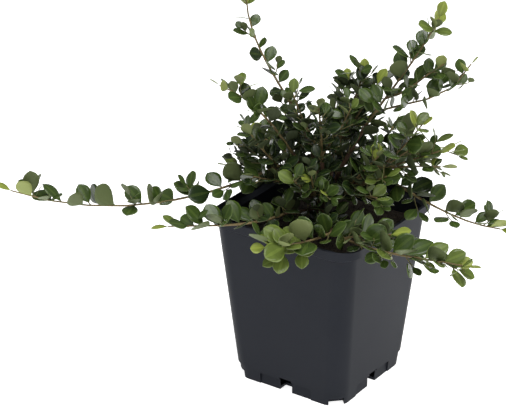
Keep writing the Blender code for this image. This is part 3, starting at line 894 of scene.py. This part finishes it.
def make_soil():
    """A bumpy top closed by a plain underside, and crumbs strewn on it."""
    top, squares = soil_grid()
    border = grid_border(SOIL_TICKS, SOIL_TICKS)
    low = len(top)
    vertices = top + [(top[i][0], top[i][1], SOIL_TOP - SOIL_DEPTH) for i in border]
    faces = list(squares)
    for k in range(len(border)):
        j = (k + 1) % len(border)
        faces.append((border[j], border[k], low + k, low + j))
    faces.append(tuple(low + k for k in reversed(range(len(border)))))
    finish = soil_finish()
    soil = add_mesh("soil_surface", vertices, faces, finish)
    soil.data.shade_smooth()
    place(soil, "potting_soil", "soil")
    crumbs = add_mesh("soil_crumbs", top, squares)
    scatter_crumbs(crumbs, finish)
    return place(crumbs, "potting_soil")


# Geometry Nodes

class Tree:
    """A Geometry Nodes tree with named inputs."""

    def __init__(self, name, **sockets):
        self.tree = bpy.data.node_groups.new(name, "GeometryNodeTree")
        add = self.tree.interface.new_socket
        add("Geometry", in_out="INPUT", socket_type="NodeSocketGeometry")
        self.keys = {}
        for key, kind in sockets.items():
            self.keys[key] = add(key, in_out="INPUT", socket_type="NodeSocket" + kind).identifier
        add("Geometry", in_out="OUTPUT", socket_type="NodeSocketGeometry")
        self.given = self.tree.nodes.new("NodeGroupInput").outputs
        self.result = self.tree.nodes.new("NodeGroupOutput").inputs[0]

    def node(self, kind, inputs=(), **settings):
        made = self.tree.nodes.new(kind)
        for key, value in settings.items():
            setattr(made, key, value)
        for key, value in dict(inputs).items():
            if isinstance(value, bpy.types.NodeSocket):
                self.tree.links.new(value, made.inputs[key])
            else:
                made.inputs[key].default_value = value
        return made.outputs

    def finish(self, instances):
        real = self.node("GeometryNodeRealizeInstances", {"Geometry": instances})[0]
        inputs = {"Geometry": real, "Material": self.given["Finish"]}
        self.tree.links.new(self.node("GeometryNodeSetMaterial", inputs)[0], self.result)

    def grow(self, made, **values):
        step = made.modifiers.new(self.tree.name, "NODES")
        step.node_group = self.tree
        for key, value in values.items():
            step[self.keys[key]] = value
        return settle(made)


def scatter_crumbs(ground, finish):
    """Small stretched balls strewn on the ground mesh, which they replace."""
    tree = Tree("crumbs", Density="Float", Smallest="Float", Largest="Float", Finish="Material")
    given = tree.given
    inputs = {"Mesh": given["Geometry"], "Density": given["Density"], "Seed": 4}
    points = tree.node("GeometryNodeDistributePointsOnFaces", inputs)
    crumb = tree.node("GeometryNodeMeshIcoSphere", {"Radius": 0.5, "Subdivisions": 2})[0]
    inputs = {2: given["Smallest"], 3: given["Largest"], "Seed": 8}
    size = tree.node("FunctionNodeRandomValue", inputs, data_type="FLOAT")[1]

    def between(bounds, seed):
        inputs = {0: bounds[0], 1: bounds[1], "Seed": seed}
        return tree.node("FunctionNodeRandomValue", inputs, data_type="FLOAT_VECTOR")[0]

    turn = between(CRUMB_TURNS, seed=9)
    stretch = between(CRUMB_SHAPES, seed=5)
    scale = tree.node("ShaderNodeVectorMath", {0: stretch, "Scale": size}, operation="SCALE")[0]
    inputs = {"Points": points["Points"], "Instance": crumb, "Rotation": turn, "Scale": scale}
    tree.finish(tree.node("GeometryNodeInstanceOnPoints", inputs)[0])
    tree.grow(ground, Density=CRUMB_DENSITY, Smallest=CRUMB_SIZES[0], Largest=CRUMB_SIZES[1],
              Finish=finish)
    ground.data.shade_smooth()


# Bark

def resampled(points, radii, step):
    """A path and its radii at even small steps."""
    points = np.array(points)
    lengths = np.r_[0, np.cumsum(np.linalg.norm(np.diff(points, axis=0), axis=1))]
    ticks = np.linspace(0, lengths[-1], max(4, int(lengths[-1] / step)))
    path = np.stack([np.interp(ticks, lengths, points[:, k]) for k in range(3)], axis=1)
    for _ in range(SMOOTHINGS):
        path[1:-1] = path[1:-1] / 2 + (path[:-2] + path[2:]) / 4
    return list(path), list(np.interp(ticks, lengths, radii))


def rough_tube(points, radii, sides, step=BARK_STEP):
    """A tube whose surface carries the ridges and knots of bark."""
    path, radii = resampled(points, radii, step)
    vertices, faces = tube(path, radii, sides)
    relief = []
    for k, vertex in enumerate(vertices):
        centre = path[k // sides]
        out = Vector(vertex - centre)
        grain = Vector((vertex[0], vertex[1], vertex[2] * BARK_STRETCH)) * BARK_GRAIN
        swell = 1 + BARK_RELIEF * noise.fractal(grain, *BARK_FRACTAL)
        relief.append(Vector(centre) + out * swell)
    return relief, faces


def make_bark(bough_paths):
    """The stem and the boughs that leave it, all of rough bark."""
    heights = np.linspace(SOIL_TOP - STEM_SUNK, SOIL_TOP + GAP + STEM_HEIGHT, STEM_RINGS)
    axis = [stem_axis(h) for h in heights]
    radii = [stem_radius(max(h, SOIL_TOP)) for h in heights]
    radii[-1] *= STEM_TIP_SHARE
    solids = [rough_tube(axis, radii, 2 * BARK_SIDES)]
    for path in bough_paths.values():
        inside = path[0] - unit(path[1] - path[0]) * BOUGH_SUNK
        thick = tapered(BOUGH_RADIUS, BOUGH_TIP_RADIUS, len(path))
        thick.insert(0, thick[0] * BOUGH_COLLAR)
        solids.append(rough_tube([inside, *path], thick, BARK_SIDES))
    bark = add_mesh("bark", *joined(solids), bark_finish("bark_fine", *BARK_COLOURS, BARK_STREAKS))
    bark.data.shade_smooth()
    names = [f"bough_{name}" for name in bough_paths]
    return place(bark, "young_bark", "stem", *names)


# Foliage

def leaf_shape():
    """A leaf along +X: a stalk, then an obovate blade with a groove. The last list says how far
    out from the rib each point is."""
    vertices, out = [], []
    for level in (0.0, -BLADE_THICKNESS):
        for share, half in BLADE:
            for column in BLADE_COLUMNS:
                aside = abs(column)
                rise = LEAF_FOLD * half * (FOLD_CURVE[0] * aside - FOLD_CURVE[1] * aside ** 2)
                rise += level - LEAF_CAMBER * share ** 2
                vertices.append((share - LEAF_SWEEP * aside, column * half, rise))
                out.append(aside)
    wide, rows = len(BLADE_COLUMNS), len(BLADE)
    low = wide * rows
    faces = []
    for row in range(rows - 1):
        for column in range(wide - 1):
            a = row * wide + column
            faces.append((a, a + wide, a + wide + 1, a + 1))
            faces.append((low + a, low + a + 1, low + a + wide + 1, low + a + wide))
    border = grid_border(rows, wide)
    for k, a in enumerate(border):
        b = border[(k + 1) % len(border)]
        faces.append((a, b, low + b, low + a))
    return vertices, faces, out


def make_leaf():
    """The pattern that every leaf repeats, with what its finish reads."""
    vertices, faces, out = leaf_shape()
    leaf = add_mesh("leaf_pattern", vertices, faces)
    under = [0.0 if k < len(vertices) / 2 else 1.0 for k in range(len(vertices))]
    for name, values in (("out", out), ("under", under)):
        leaf.data.attributes.new(name, "FLOAT", "POINT").data.foreach_set("value", values)
    leaf.data.shade_smooth()
    return leaf


def spur_spacing(mass):
    """The step between a mass's spurs: wide on the open shoots, close in the crown."""
    if mass.name in OPEN_MASSES:
        return SPUR_STEP * OPEN_SPACING
    if mass.name.startswith("crown"):
        return SPUR_STEP * CROWN_SPACING
    return SPUR_STEP


def spurs(path, twig, rng, spacing):
    """Short shoots along a twig, each a path and its own leaf rule."""
    count = int(twig.reach / spacing)
    made = []
    for k in range(count):
        share = (k + 0.5 + rng.uniform(-SPUR_JITTER, SPUR_JITTER)) / count
        root, ahead = along(path, share)
        side = unit(np.cross(ahead, OFF_UP))
        roll = rng.uniform(0, 2 * math.pi)
        outward = side * math.cos(roll) + np.cross(ahead, side) * math.sin(roll)
        lean = math.radians(SPUR_LEAN)
        forward = ahead * math.cos(lean) + outward * math.sin(lean)
        heading = math.degrees(math.atan2(forward[1], forward[0]))
        pitch = math.degrees(math.asin(max(-1.0, min(1.0, forward[2]))))
        reach = rng.uniform(*SPUR_REACH) * (1 - SPUR_TAPER * share)
        headings = (heading, heading + rng.uniform(-SPUR_SWING, SPUR_SWING))
        pitches = (pitch, pitch + SPUR_RISES[0], pitch + SPUR_RISES[1])
        leaf = twig.leaf * SPUR_LEAF_SHARE
        seed = rng.randrange(10000)
        rule = Twig(headings, pitches, reach, SPUR_LEAVES, leaf, seed, twist=SPUR_TWIST)
        made.append((share, swept(root, reach, headings, pitches, SPUR_RINGS), rule))
    return made


def tone_of(value):
    """The tone whose range holds a value."""
    return next(name for name, limit in TONE_STEPS if value < limit)


def has_room(end):
    """Whether a leaf's end is inside the part's box and above the soil."""
    low, high = (np.array(corner) for corner in cad_box)
    if (end > high - BOX_MARGIN).any() or (end < low + BOX_MARGIN).any():
        return False
    return end[2] > SOIL_TOP + BOX_MARGIN or np.abs(end[:2]).max() > POT_SIDE / 2


def grow_leaves(masses, bough_paths, space):
    """Every leaf that finds room, by tone, and every spur that bears one."""
    leaves = {name: [] for name in TONES}
    shoots = []

    def try_leaf(owner, site, value):
        root, direction, face, length = site
        whole = leaf_solid(root, direction, face, length, LEAF_MARGIN)
        blade = leaf_solid(root, direction, face, length, LEAF_MARGIN, LEAF_STALK_SHARE)
        if not space.is_free(*whole, own=owner):
            return False
        if not space.is_free(*blade, own=owner, others=False):
            return False
        space.add(owner, *leaf_solid(root, direction, face, length))
        leaves[tone_of(value)].append(site)
        return True

    def add_spurs(owner, path, twig, spacing, base):
        rng = random.Random(f"{owner}_spurs_{len(path)}_{twig.seed}")
        for share, spur, rule in spurs(path, twig, rng, spacing):
            value = base + TONE_GAINS[1] * share ** 2 + rng.gauss(0, TONE_SPREADS[1])
            kept = 0
            for site in leaf_sites(spur, rule):
                if has_room(site[0] + site[1] * site[3]):
                    kept += try_leaf(owner, site, value)
            if kept:
                shoots.append(spur)

    for mass, paths in masses:
        rng = random.Random(mass.name)
        base = MASS_TONES_AND_SHADE[mass.name]
        scale = SMALL_LEAF_SHARE if mass.name in SMALL_LEAVED else 1.0
        for path, twig in zip(paths, mass.twigs):
            sites = leaf_sites(path, twig._replace(leaf=twig.leaf * scale))
            for k, site in enumerate(sites):
                tip = TIP_TONE if k >= len(sites) - TIP_LEAVES else 0.0
                gain = TONE_GAINS[0] * (k / len(sites)) ** 3
                try_leaf(mass.name, site, base + tip + gain + rng.gauss(0, TONE_SPREADS[0]))
    for mass, paths in masses:
        for path, twig in zip(paths, mass.twigs):
            add_spurs(mass.name, path, twig, spur_spacing(mass), MASS_TONES_AND_SHADE[mass.name])
    for bough in BOUGHS:
        rule = Twig(bough.heading, bough.pitch, bough.reach, 0, BOUGH_LEAF, 0)
        add_spurs(bough.name, bough_paths[bough.name], rule, BOUGH_SPUR_STEP, BOUGH_SHADE_TONE)
    return leaves, shoots


def leaf_points(name, sites):
    """One point for each leaf, with its turn and its size."""
    points = add_mesh(name, [site[0] for site in sites], [])
    turns, sizes = [], []
    for root, direction, face, length in sites:
        across = np.cross(face, direction)
        turns += Matrix(np.array((direction, across, face)).T.tolist()).to_euler()[:]
        sizes += [length] * 3
    for key, values in (("turn", turns), ("size", sizes)):
        points.data.attributes.new(key, "FLOAT_VECTOR", "POINT").data.foreach_set("vector", values)
    return points


def leaf_tree():
    """A leaf on each point, turned and sized as the point says."""
    tree = Tree("leaves", Leaf="Object", Finish="Material")
    pattern = tree.node("GeometryNodeObjectInfo", {"Object": tree.given["Leaf"]})["Geometry"]
    read = {}
    for key in ("turn", "size"):
        read[key] = tree.node("GeometryNodeInputNamedAttribute", {"Name": key},
                              data_type="FLOAT_VECTOR")["Attribute"]
    turn = tree.node("FunctionNodeEulerToRotation", {"Euler": read["turn"]})[0]
    inputs = {"Points": tree.given["Geometry"], "Instance": pattern, "Rotation": turn,
              "Scale": read["size"]}
    tree.finish(tree.node("GeometryNodeInstanceOnPoints", inputs)[0])
    return tree


def make_twigs(masses, bough_paths):
    """Every mass's twigs, the first one grown on from its bough."""
    solids = []
    for mass, paths in masses:
        for k, path in enumerate(paths):
            radius = TWIG_RADIUS if k == 0 else SIDE_TWIG_RADIUS
            start = [bough_paths[mass.bough][-1]] if k == 0 else []
            thick = tapered(radius, TWIG_TIP_RADIUS, len(path) + len(start))
            solids.append(rough_tube([*start, *path], thick, TWIG_SIDES, TWIG_RING_STEP))
    twigs = add_mesh("twigs", *joined(solids), bark_finish("twig_bark", *TWIG_COLOURS, TWIG_STREAKS))
    twigs.data.shade_smooth()
    place(twigs, "foliage", *(f"foliage_{mass.name}" for mass, _ in masses))


def make_spurs(shoots):
    solids = []
    for path in shoots:
        solids.append(tube(path, tapered(SPUR_RADIUS, SPUR_TIP_RADIUS, len(path)), SPUR_SIDES))
    made = add_mesh("spurs", *joined(solids), bark_finish("spur_bark", *SPUR_COLOURS, TWIG_STREAKS))
    made.data.shade_smooth()
    place(made, "foliage")


def make_leaves(leaves):
    """One piece of leaves for each tone."""
    pattern = make_leaf()
    tree = leaf_tree()
    for tone, sites in leaves.items():
        points = leaf_points(f"leaves_{tone}", sites)
        tree.grow(points, Leaf=pattern, Finish=leaf_finish(f"leaf_{tone}", *TONES[tone]))
        place(points, "foliage")
    bpy.data.objects.remove(pattern, do_unlink=True)


def make_foliage(bough_paths):
    """All the twigs stand before the first leaf is tried."""
    space = Space()
    space.add("pot", *pot_body())
    for name, path in bough_paths.items():
        thick = tapered(BOUGH_RADIUS, BOUGH_TIP_RADIUS, len(path))
        space.add(name, *tube(path, thick, BOUGH_BODY_SIDES))
    masses = grow_twigs(bough_paths)
    for mass, paths in masses:
        for k, path in enumerate(paths):
            space.add(mass.name, *twig_solid(path, k == 0))
    leaves, shoots = grow_leaves(masses, bough_paths, space)
    make_twigs(masses, bough_paths)
    make_spurs(shoots)
    make_leaves(leaves)


# Studio

def camera_axes(azimuth, elevation):
    """Back towards a viewer who stands there, that viewer's right, and up."""
    a, e = math.radians(azimuth), math.radians(elevation)
    back = Vector((math.sin(a) * math.cos(e), -math.cos(a) * math.cos(e), math.sin(e)))
    right = Vector((math.cos(a), math.sin(a), 0.0))
    return back, right, back.cross(right)


def make_floor():
    r = FLOOR_REACH
    floor = add_mesh("floor", [(-r, -r, 0), (r, -r, 0), (r, r, 0), (-r, r, 0)], [(0, 1, 2, 3)])
    finish = Finish("floor_pale", Base_Color=FLOOR_COLOUR, Roughness=0.9,
                    Emission_Color=(1.0, 1.0, 1.0), Emission_Strength=FLOOR_GLOW)
    floor.data.materials.append(finish.material)


def make_sky():
    world = bpy.data.worlds.new("studio")
    bpy.context.scene.world = world
    world.use_nodes = True
    sky = world.node_tree.nodes["Background"]
    sky.inputs["Color"].default_value = (1.0, 1.0, 1.0, 1.0)
    sky.inputs["Strength"].default_value = SKY_STRENGTH


def make_studio():
    """A white floor and sky, and three soft lamps aimed at the pot."""
    make_floor()
    make_sky()
    for name, azimuth, elevation, reach, size, power, colour in LAMPS:
        light = bpy.data.lights.new(name, "AREA")
        light.size = size
        light.energy = power
        light.color = colour
        lamp = bpy.data.objects.new(name, light)
        towards = camera_axes(azimuth, elevation)[0]
        lamp.location = towards * reach + Vector((0, 0, AIM_HEIGHT))
        lamp.rotation_euler = (-towards).to_track_quat("-Z", "Y").to_euler()
        bpy.context.scene.collection.objects.link(lamp)
    bpy.context.scene.view_settings.view_transform = "Standard"


def make_camera():
    back, right, up = camera_axes(AZIMUTH, ELEVATION)
    data = bpy.data.cameras.new("camera")
    data.lens = LENS
    data.sensor_width = SENSOR
    data.sensor_fit = "HORIZONTAL"
    data.dof.use_dof = False
    camera = bpy.data.objects.new("camera", data)
    eye = Vector((0, 0, AIM_HEIGHT)) + right * SHIFT_RIGHT + up * SHIFT_UP + back * DISTANCE
    camera.matrix_world = Matrix.Translation(eye) @ Matrix((right, up, back)).transposed().to_4x4()
    bpy.context.scene.collection.objects.link(camera)
    bpy.context.scene.camera = camera


def main():
    bough_paths = grow_boughs()
    make_pot()
    make_soil()
    make_bark(bough_paths)
    make_foliage(bough_paths)
    make_studio()
    make_camera()


main()
